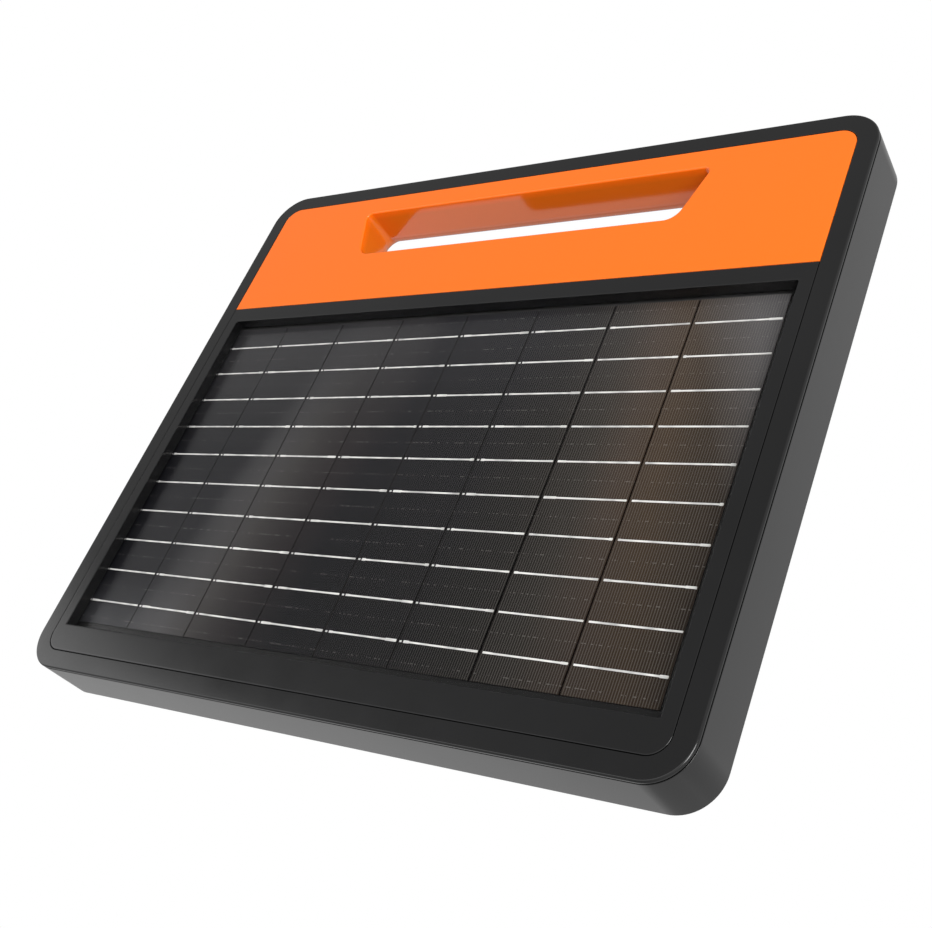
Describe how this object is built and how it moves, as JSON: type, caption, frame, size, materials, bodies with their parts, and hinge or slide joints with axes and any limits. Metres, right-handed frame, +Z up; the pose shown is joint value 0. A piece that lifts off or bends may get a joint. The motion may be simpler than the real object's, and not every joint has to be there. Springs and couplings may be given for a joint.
{
  "type": "fence energizer",
  "caption": "Flat solar fence energizer: charcoal case, orange panel with a carry handle slot, a recessed solar window, and a rear pulse housing with screw terminals and a post bracket.",
  "frame": {"origin": "middle of the base of the whole object, which stands on the bottom edge of its case", "axes": "+X along the width, to the right seen from the front; +Y from the front with its solar window to the back with its terminals; +Z up"},
  "size_m": [0.354, 0.045, 0.303],
  "materials": {
    "case_plastic": "moulded charcoal plastic, fine matte texture",
    "orange_plastic": "satin orange moulded plastic",
    "red_plastic": "red moulded knob",
    "green_plastic": "green moulded knob",
    "black_rubber": "soft black seal",
    "clear_sheet": "clear low-iron cover sheet",
    "silicon": "near-black silicon wafer with silver print",
    "dark_sheet": "black laminate backsheet",
    "circuit_board": "green solder mask on glass fibre",
    "core_steel": "stacked steel laminations",
    "copper": "enamelled copper wire",
    "film_box": "blue boxed film capacitor",
    "aluminium": "extruded aluminium",
    "chip_black": "black moulded component body",
    "lens_green": "frosted green light guide",
    "battery_wrap": "shrink-wrapped battery cell",
    "nickel": "nickel strip",
    "stainless": "stainless steel",
    "zinc_steel": "zinc-plated steel strap",
    "lead_red": "red insulated lead",
    "lead_black": "black insulated lead"
  },
  "bodies": {
    "case": {"battery_board": "circuit_board", "battery_cell_1": "battery_wrap", "battery_cell_2": "battery_wrap", "battery_cell_3": "battery_wrap", "battery_cover": "case_plastic", "battery_cover_screw_1": "stainless", "battery_cover_screw_2": "stainless", "battery_cover_seal": "black_rubber", "battery_lead": "lead_red", "battery_link_left": "nickel", "battery_link_right": "nickel", "battery_tray": "case_plastic", "bracket_screw_1": "stainless", "bracket_screw_2": "stainless", "breather_vent": "black_rubber", "button_spring": "stainless", "case_screw_1": "stainless", "case_screw_2": "stainless", "case_screw_3": "stainless", "case_screw_4": "stainless", "charge_inductor": "copper", "control_chip": "chip_black", "earth_lead": "lead_black", "earth_stud": "stainless", "fence_lead": "lead_red", "fence_stud": "stainless", "front_frame": "case_plastic", "handle_fascia": "orange_plastic", "heat_sink": "aluminium", "housing_seal": "black_rubber", "junction_box": "chip_black", "light_pipe": "lens_green", "main_board": "circuit_board", "panel_backsheet": "dark_sheet", "panel_cover": "clear_sheet", "panel_gasket": "black_rubber", "panel_lead": "lead_black", "panel_surround": "case_plastic", "post_bracket": "zinc_steel", "push_switch": "chip_black", "rear_housing": "case_plastic", "solar_cell_1": "silicon", "solar_cell_2": "silicon", "solar_cell_3": "silicon", "solar_cell_4": "silicon", "solar_cell_5": "silicon", "solar_cell_6": "silicon", "solar_cell_7": "silicon", "solar_cell_8": "silicon", "status_led": "lens_green", "storage_capacitor_1": "film_box", "storage_capacitor_2": "film_box", "switching_thyristor": "chip_black", "transformer_core": "core_steel", "transformer_winding": "copper"},
    "power_button": {"power_button": "orange_plastic"},
    "fence_clamp": {"fence_washer": "stainless"},
    "fence_knob": {"fence_knob": "red_plastic"},
    "earth_clamp": {"earth_washer": "stainless"},
    "earth_knob": {"earth_knob": "green_plastic"}
  },
  "joints": [
    {"name": "button_press", "type": "slide", "parent": "case", "child": "power_button", "axis": [0, -1, 0], "range_m": [0, 0.0015], "stiffness_N_per_m": 300, "springref_m": -0.002, "deforming": ["button_spring"]},
    {"name": "fence_clamp_slide", "type": "slide", "parent": "case", "child": "fence_clamp", "axis": [0, 1, 0], "range_m": [0, 0.00313]},
    {"name": "fence_knob_turn", "type": "hinge", "parent": "fence_clamp", "child": "fence_knob", "pos_m": [-0.14, 0.015, 0.055], "axis": [0, 1, 0], "range_deg": [0, 900]},
    {"name": "earth_clamp_slide", "type": "slide", "parent": "case", "child": "earth_clamp", "axis": [0, 1, 0], "range_m": [0, 0.00313]},
    {"name": "earth_knob_turn", "type": "hinge", "parent": "earth_clamp", "child": "earth_knob", "pos_m": [-0.085, 0.015, 0.055], "axis": [0, 1, 0], "range_deg": [0, 900]}
  ],
  "couplings": [
    {"joint": "fence_knob_turn", "follows": "fence_clamp_slide", "rad_per_m": 5026.5},
    {"joint": "earth_knob_turn", "follows": "earth_clamp_slide", "rad_per_m": 5026.5}
  ]
}
